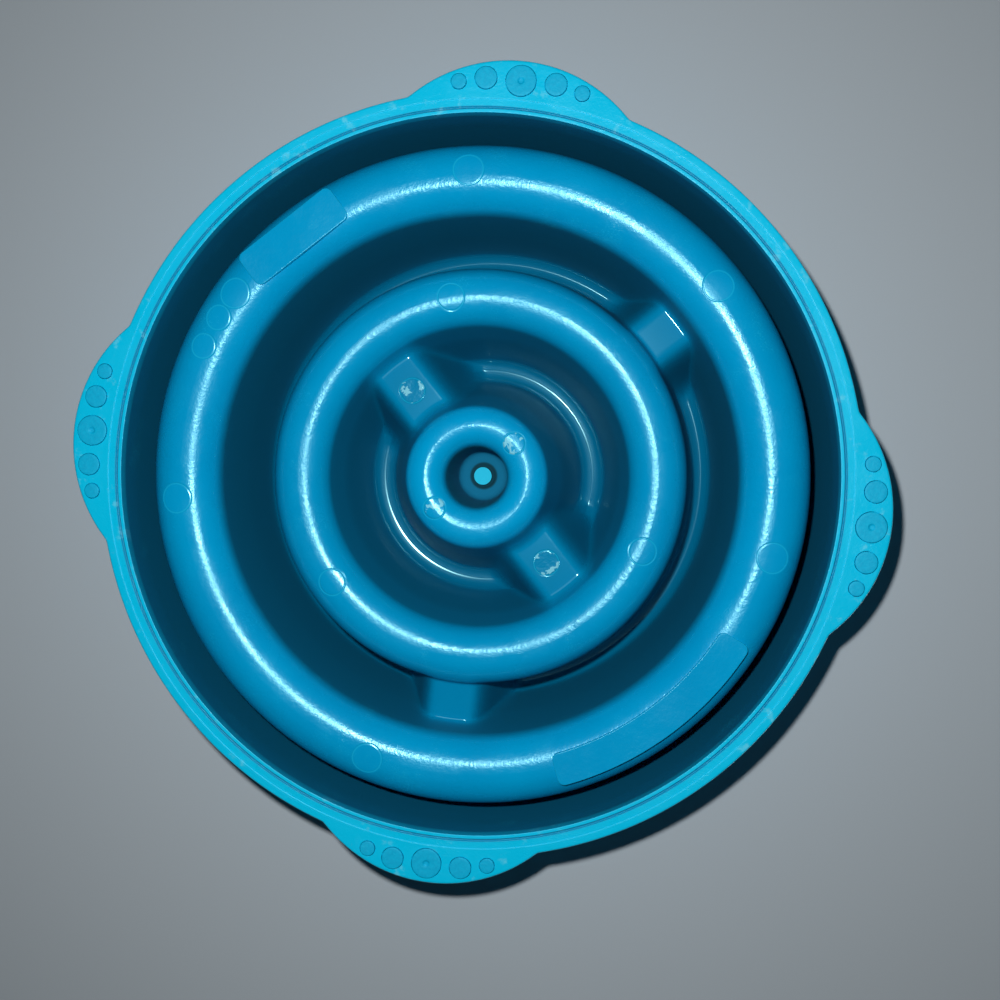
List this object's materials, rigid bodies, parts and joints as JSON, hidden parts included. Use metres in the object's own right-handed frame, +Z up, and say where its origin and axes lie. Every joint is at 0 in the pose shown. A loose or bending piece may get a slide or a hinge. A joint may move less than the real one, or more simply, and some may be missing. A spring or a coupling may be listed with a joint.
{
  "type": "slow feeder bowl",
  "caption": "Round slow feeder pet bowl with ring-shaped food channels, notched ridges, a centre post and soft grip plugs in its foot tabs.",
  "frame": {"origin": "on the bowl's axis, at the level of the grip plugs' faces, which rest on the floor", "axes": "+Z up along the bowl's axis, feeding side up; +X and +Y through two neighbouring tabs"},
  "size_m": [0.29, 0.29, 0.07],
  "materials": {
    "shell_plastic": "glossy moulded teal blue",
    "grip_rubber": "soft satin teal blue"
  },
  "bodies": {
    "root": {"bowl_shell": "shell_plastic", "right_large_grip_plug": "grip_rubber", "right_medium_grip_plug_a": "grip_rubber", "right_medium_grip_plug_b": "grip_rubber", "right_small_grip_plug_a": "grip_rubber", "right_small_grip_plug_b": "grip_rubber", "back_large_grip_plug": "grip_rubber", "back_medium_grip_plug_a": "grip_rubber", "back_medium_grip_plug_b": "grip_rubber", "back_small_grip_plug_a": "grip_rubber", "back_small_grip_plug_b": "grip_rubber", "left_large_grip_plug": "grip_rubber", "left_medium_grip_plug_a": "grip_rubber", "left_medium_grip_plug_b": "grip_rubber", "left_small_grip_plug_a": "grip_rubber", "left_small_grip_plug_b": "grip_rubber", "front_large_grip_plug": "grip_rubber", "front_medium_grip_plug_a": "grip_rubber", "front_medium_grip_plug_b": "grip_rubber", "front_small_grip_plug_a": "grip_rubber", "front_small_grip_plug_b": "grip_rubber"}
  },
  "joints": []
}
